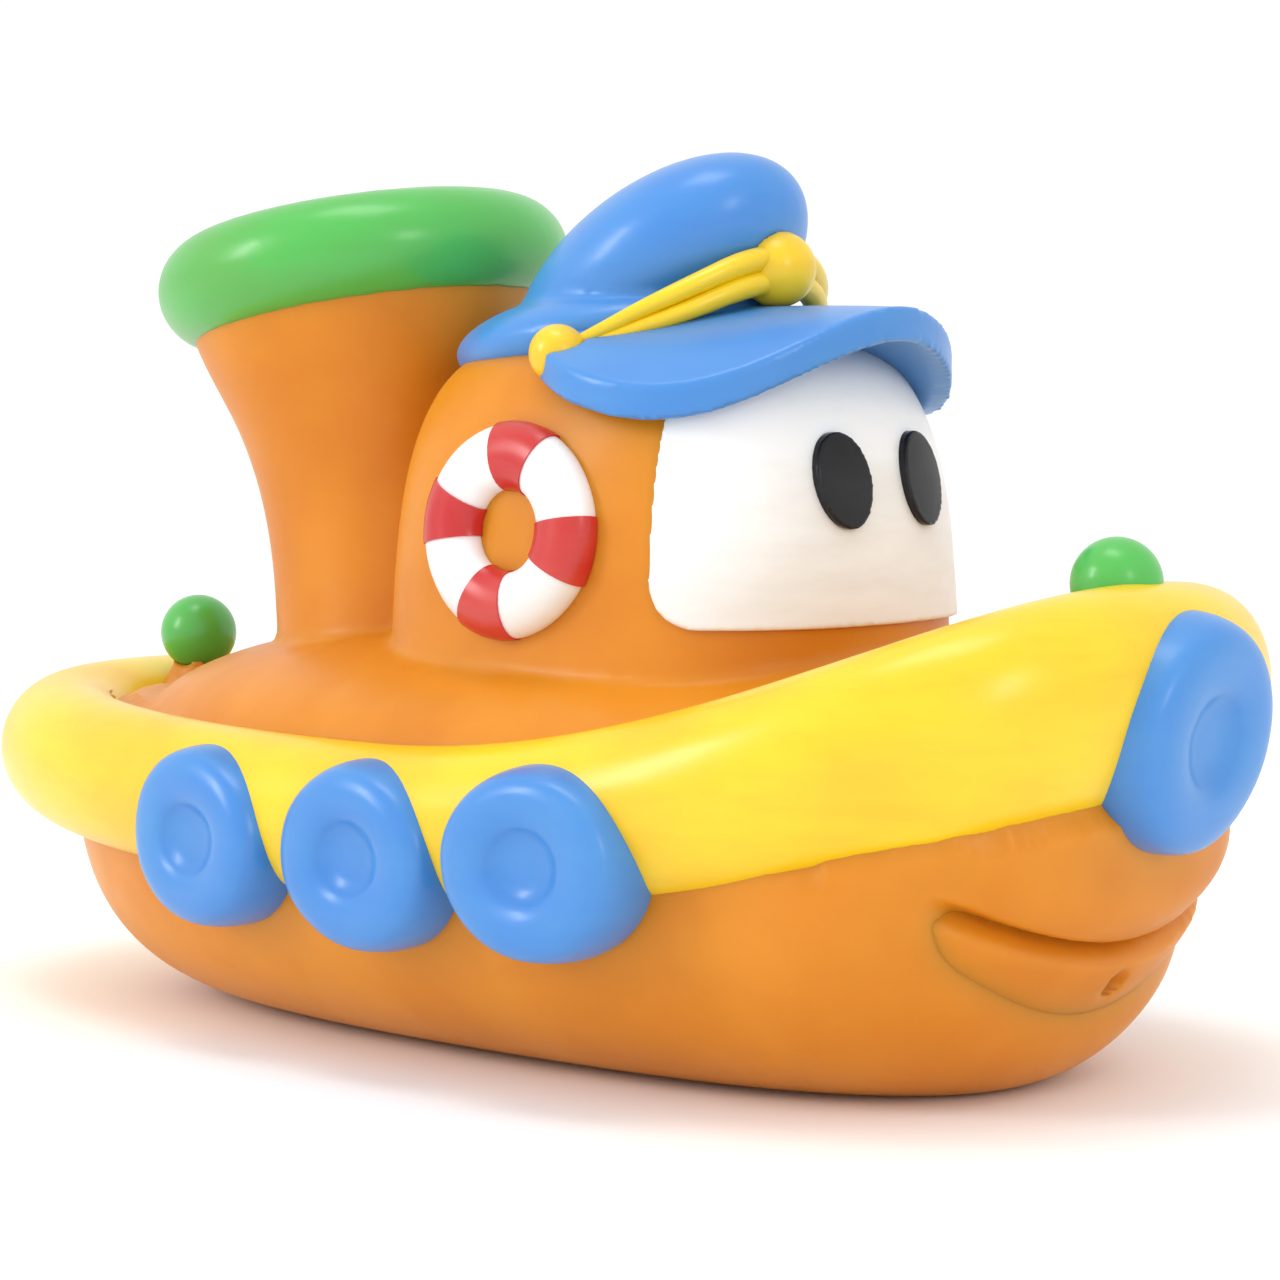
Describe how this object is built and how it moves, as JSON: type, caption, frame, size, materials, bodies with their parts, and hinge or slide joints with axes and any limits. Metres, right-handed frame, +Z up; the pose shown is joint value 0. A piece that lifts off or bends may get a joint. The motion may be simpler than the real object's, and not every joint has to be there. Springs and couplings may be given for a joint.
{
  "type": "toy boat",
  "caption": "Squirting bath toy boat: a smiling soft-vinyl tug with a peaked cap, a raked funnel, tyre fenders and lifebuoys.",
  "frame": {"origin": "on the table under the middle of the boat's length and beam", "axes": "+X towards the bow, +Y to port, +Z up, with the flat keel down"},
  "size_m": [0.1009, 0.055, 0.0591],
  "materials": {
    "hull_vinyl": "satin",
    "yellow_paint": "semi-gloss",
    "blue_paint": "semi-gloss",
    "green_paint": "semi-gloss",
    "white_paint": "satin",
    "red_paint": "semi-gloss",
    "black_paint": "gloss"
  },
  "bodies": {
    "root": {"body_shell": "hull_vinyl", "bow_bollard_cap": "green_paint", "bow_fender": "blue_paint", "cap_badge": "yellow_paint", "cap_band": "yellow_paint", "cap_button_port": "yellow_paint", "cap_button_starboard": "yellow_paint", "cap_crown": "blue_paint", "cap_peak": "blue_paint", "eye_panel": "white_paint", "fender_port_aft": "blue_paint", "fender_port_fore": "blue_paint", "fender_port_mid": "blue_paint", "fender_starboard_aft": "blue_paint", "fender_starboard_fore": "blue_paint", "fender_starboard_mid": "blue_paint", "funnel_rim": "green_paint", "gunwale": "yellow_paint", "life_ring_bands_port": "red_paint", "life_ring_bands_starboard": "red_paint", "life_ring_port": "white_paint", "life_ring_starboard": "white_paint", "pupil_port": "black_paint", "pupil_starboard": "black_paint", "stern_bollard_cap": "green_paint"}
  },
  "joints": []
}
